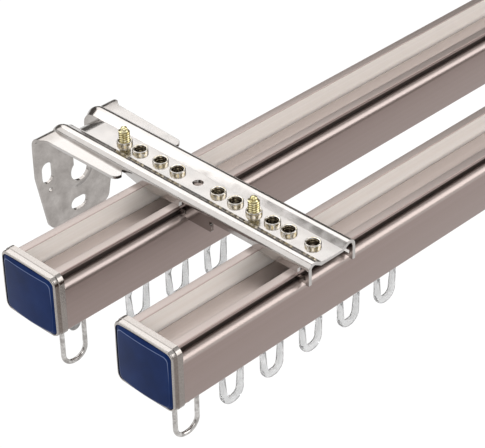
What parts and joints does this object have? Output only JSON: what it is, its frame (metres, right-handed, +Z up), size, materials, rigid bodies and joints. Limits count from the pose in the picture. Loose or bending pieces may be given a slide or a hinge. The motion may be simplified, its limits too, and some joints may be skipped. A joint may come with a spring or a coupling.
{
  "type": "curtain track",
  "caption": "Double aluminium curtain track on stamped steel wall brackets, with end caps, end stops, hanging rings and wheeled gliders.",
  "frame": {"origin": "centre of the left bracket's keyhole, on the wall plane at the back of its plate", "axes": "+X along the tracks, +Y into the wall so the room is at -Y, +Z up"},
  "size_m": [0.6136, 0.1465, 0.0675],
  "materials": {
    "bracket_steel": "bright nickel-plated stamped steel",
    "clamp_steel": "zinc-plated steel strip",
    "screw_zinc": "yellow zinc-plated screw",
    "rail_anodised": "champagne anodised extrusion",
    "cap_chrome": "bright plated casting",
    "inlay_navy": "smooth navy moulding",
    "stop_plastic": "grey nylon moulding",
    "ring_wire": "plated round wire",
    "glider_plastic": "silver-grey nylon moulding",
    "wheel_plastic": "white nylon wheels on a steel pin"
  },
  "bodies": {
    "rails_and_brackets": {"bracket_left": "bracket_steel", "bracket_right": "bracket_steel", "front_rail": "rail_anodised", "front_clamp_left": "clamp_steel", "front_clamp_screw_left": "screw_zinc", "front_end_cap_left": "cap_chrome", "front_cap_inlay_left": "inlay_navy", "front_end_stop_left": "stop_plastic", "front_clamp_right": "clamp_steel", "front_clamp_screw_right": "screw_zinc", "front_end_cap_right": "cap_chrome", "front_cap_inlay_right": "inlay_navy", "front_end_stop_right": "stop_plastic", "back_rail": "rail_anodised", "back_clamp_left": "clamp_steel", "back_clamp_screw_left": "screw_zinc", "back_end_cap_left": "cap_chrome", "back_cap_inlay_left": "inlay_navy", "back_end_stop_left": "stop_plastic", "back_clamp_right": "clamp_steel", "back_clamp_screw_right": "screw_zinc", "back_end_cap_right": "cap_chrome", "back_cap_inlay_right": "inlay_navy", "back_end_stop_right": "stop_plastic"},
    "front_end_ring_left": {"front_end_ring_left": "ring_wire"},
    "front_end_ring_right": {"front_end_ring_right": "ring_wire"},
    "front_glider_1": {"front_glider_1": "glider_plastic"},
    "front_glider_1_wheels_a": {"front_glider_1_wheels_a": "wheel_plastic"},
    "front_glider_1_wheels_b": {"front_glider_1_wheels_b": "wheel_plastic"},
    "front_glider_2": {"front_glider_2": "glider_plastic"},
    "front_glider_2_wheels_a": {"front_glider_2_wheels_a": "wheel_plastic"},
    "front_glider_2_wheels_b": {"front_glider_2_wheels_b": "wheel_plastic"},
    "front_glider_3": {"front_glider_3": "glider_plastic"},
    "front_glider_3_wheels_a": {"front_glider_3_wheels_a": "wheel_plastic"},
    "front_glider_3_wheels_b": {"front_glider_3_wheels_b": "wheel_plastic"},
    "front_glider_4": {"front_glider_4": "glider_plastic"},
    "front_glider_4_wheels_a": {"front_glider_4_wheels_a": "wheel_plastic"},
    "front_glider_4_wheels_b": {"front_glider_4_wheels_b": "wheel_plastic"},
    "front_glider_5": {"front_glider_5": "glider_plastic"},
    "front_glider_5_wheels_a": {"front_glider_5_wheels_a": "wheel_plastic"},
    "front_glider_5_wheels_b": {"front_glider_5_wheels_b": "wheel_plastic"},
    "back_end_ring_left": {"back_end_ring_left": "ring_wire"},
    "back_end_ring_right": {"back_end_ring_right": "ring_wire"},
    "back_glider_1": {"back_glider_1": "glider_plastic"},
    "back_glider_1_wheels_a": {"back_glider_1_wheels_a": "wheel_plastic"},
    "back_glider_1_wheels_b": {"back_glider_1_wheels_b": "wheel_plastic"},
    "back_glider_2": {"back_glider_2": "glider_plastic"},
    "back_glider_2_wheels_a": {"back_glider_2_wheels_a": "wheel_plastic"},
    "back_glider_2_wheels_b": {"back_glider_2_wheels_b": "wheel_plastic"},
    "back_glider_3": {"back_glider_3": "glider_plastic"},
    "back_glider_3_wheels_a": {"back_glider_3_wheels_a": "wheel_plastic"},
    "back_glider_3_wheels_b": {"back_glider_3_wheels_b": "wheel_plastic"}
  },
  "joints": [
    {"name": "front_end_ring_left_swing", "type": "hinge", "parent": "rails_and_brackets", "child": "front_end_ring_left", "pos_m": [-0.0598, -0.1285, -0.0137], "axis": [1, 0, 0], "range_deg": [-120, 120]},
    {"name": "front_end_ring_right_swing", "type": "hinge", "parent": "rails_and_brackets", "child": "front_end_ring_right", "pos_m": [0.5118, -0.1285, -0.0137], "axis": [1, 0, 0], "range_deg": [-120, 120]},
    {"name": "front_glider_1_slide", "type": "slide", "parent": "rails_and_brackets", "child": "front_glider_1", "axis": [1, 0, 0], "range_m": [-0.00638, 0.0885]},
    {"name": "front_glider_1_wheels_a_spin", "type": "hinge", "parent": "front_glider_1", "child": "front_glider_1_wheels_a", "pos_m": [-0.0411, -0.1285, 0.00375], "axis": [0, 1, 0], "continuous": true},
    {"name": "front_glider_1_wheels_b_spin", "type": "hinge", "parent": "front_glider_1", "child": "front_glider_1_wheels_b", "pos_m": [-0.0309, -0.1285, 0.00375], "axis": [0, 1, 0], "continuous": true},
    {"name": "front_glider_2_slide", "type": "slide", "parent": "front_glider_1", "child": "front_glider_2", "axis": [1, 0, 0], "range_m": [-0.0009, 0.0885]},
    {"name": "front_glider_2_wheels_a_spin", "type": "hinge", "parent": "front_glider_2", "child": "front_glider_2_wheels_a", "pos_m": [-0.0193, -0.1285, 0.00375], "axis": [0, 1, 0], "continuous": true},
    {"name": "front_glider_2_wheels_b_spin", "type": "hinge", "parent": "front_glider_2", "child": "front_glider_2_wheels_b", "pos_m": [-0.0091, -0.1285, 0.00375], "axis": [0, 1, 0], "continuous": true},
    {"name": "front_glider_3_slide", "type": "slide", "parent": "front_glider_2", "child": "front_glider_3", "axis": [1, 0, 0], "range_m": [-0.0009, 0.0885]},
    {"name": "front_glider_3_wheels_a_spin", "type": "hinge", "parent": "front_glider_3", "child": "front_glider_3_wheels_a", "pos_m": [0.0025, -0.1285, 0.00375], "axis": [0, 1, 0], "continuous": true},
    {"name": "front_glider_3_wheels_b_spin", "type": "hinge", "parent": "front_glider_3", "child": "front_glider_3_wheels_b", "pos_m": [0.0127, -0.1285, 0.00375], "axis": [0, 1, 0], "continuous": true},
    {"name": "front_glider_4_slide", "type": "slide", "parent": "front_glider_3", "child": "front_glider_4", "axis": [1, 0, 0], "range_m": [-0.0009, 0.0885]},
    {"name": "front_glider_4_wheels_a_spin", "type": "hinge", "parent": "front_glider_4", "child": "front_glider_4_wheels_a", "pos_m": [0.0243, -0.1285, 0.00375], "axis": [0, 1, 0], "continuous": true},
    {"name": "front_glider_4_wheels_b_spin", "type": "hinge", "parent": "front_glider_4", "child": "front_glider_4_wheels_b", "pos_m": [0.0345, -0.1285, 0.00375], "axis": [0, 1, 0], "continuous": true},
    {"name": "front_glider_5_slide", "type": "slide", "parent": "front_glider_4", "child": "front_glider_5", "axis": [1, 0, 0], "range_m": [-0.0009, 0.0885]},
    {"name": "front_glider_5_wheels_a_spin", "type": "hinge", "parent": "front_glider_5", "child": "front_glider_5_wheels_a", "pos_m": [0.0461, -0.1285, 0.00375], "axis": [0, 1, 0], "continuous": true},
    {"name": "front_glider_5_wheels_b_spin", "type": "hinge", "parent": "front_glider_5", "child": "front_glider_5_wheels_b", "pos_m": [0.0563, -0.1285, 0.00375], "axis": [0, 1, 0], "continuous": true},
    {"name": "back_end_ring_left_swing", "type": "hinge", "parent": "rails_and_brackets", "child": "back_end_ring_left", "pos_m": [-0.0598, -0.0655, -0.0137], "axis": [1, 0, 0], "range_deg": [-120, 120]},
    {"name": "back_end_ring_right_swing", "type": "hinge", "parent": "rails_and_brackets", "child": "back_end_ring_right", "pos_m": [0.5118, -0.0655, -0.0137], "axis": [1, 0, 0], "range_deg": [-120, 120]},
    {"name": "back_glider_1_slide", "type": "slide", "parent": "rails_and_brackets", "child": "back_glider_1", "axis": [1, 0, 0], "range_m": [-0.01648, 0.1585]},
    {"name": "back_glider_1_wheels_a_spin", "type": "hinge", "parent": "back_glider_1", "child": "back_glider_1_wheels_a", "pos_m": [-0.031, -0.0655, 0.00375], "axis": [0, 1, 0], "continuous": true},
    {"name": "back_glider_1_wheels_b_spin", "type": "hinge", "parent": "back_glider_1", "child": "back_glider_1_wheels_b", "pos_m": [-0.0208, -0.0655, 0.00375], "axis": [0, 1, 0], "continuous": true},
    {"name": "back_glider_2_slide", "type": "slide", "parent": "back_glider_1", "child": "back_glider_2", "axis": [1, 0, 0], "range_m": [-0.0009, 0.1585]},
    {"name": "back_glider_2_wheels_a_spin", "type": "hinge", "parent": "back_glider_2", "child": "back_glider_2_wheels_a", "pos_m": [-0.0092, -0.0655, 0.00375], "axis": [0, 1, 0], "continuous": true},
    {"name": "back_glider_2_wheels_b_spin", "type": "hinge", "parent": "back_glider_2", "child": "back_glider_2_wheels_b", "pos_m": [0.001, -0.0655, 0.00375], "axis": [0, 1, 0], "continuous": true},
    {"name": "back_glider_3_slide", "type": "slide", "parent": "back_glider_2", "child": "back_glider_3", "axis": [1, 0, 0], "range_m": [-0.0009, 0.1585]},
    {"name": "back_glider_3_wheels_a_spin", "type": "hinge", "parent": "back_glider_3", "child": "back_glider_3_wheels_a", "pos_m": [0.0126, -0.0655, 0.00375], "axis": [0, 1, 0], "continuous": true},
    {"name": "back_glider_3_wheels_b_spin", "type": "hinge", "parent": "back_glider_3", "child": "back_glider_3_wheels_b", "pos_m": [0.0228, -0.0655, 0.00375], "axis": [0, 1, 0], "continuous": true}
  ]
}
